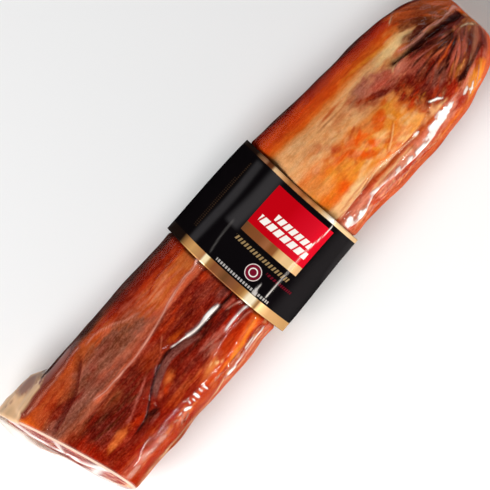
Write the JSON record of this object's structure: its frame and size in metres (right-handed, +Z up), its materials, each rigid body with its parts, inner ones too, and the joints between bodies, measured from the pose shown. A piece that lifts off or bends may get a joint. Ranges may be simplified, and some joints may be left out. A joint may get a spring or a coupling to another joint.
{
  "type": "vacuum-packed cured pork loin",
  "caption": "Half of a cured pork loin, cut square at one side and gathered at the other, shrunk tight in clear vacuum film with a black card sleeve round its middle.",
  "frame": {"origin": "on the table, under the middle of the pack's outline", "axes": "+X along the loin towards its gathered end, -X towards the knife cut, +Z up, label side up"},
  "size_m": [0.3009, 0.0769, 0.0503],
  "materials": {
    "cured_loin": "air-dried pork loin, lean maroon to orange fat, under tight glossy clear film",
    "printed_sleeve": "black coated card with gold bands and a red panel, under glossy clear film"
  },
  "bodies": {
    "root": {"loin_in_film": "cured_loin", "label_sleeve": "printed_sleeve"}
  },
  "joints": []
}
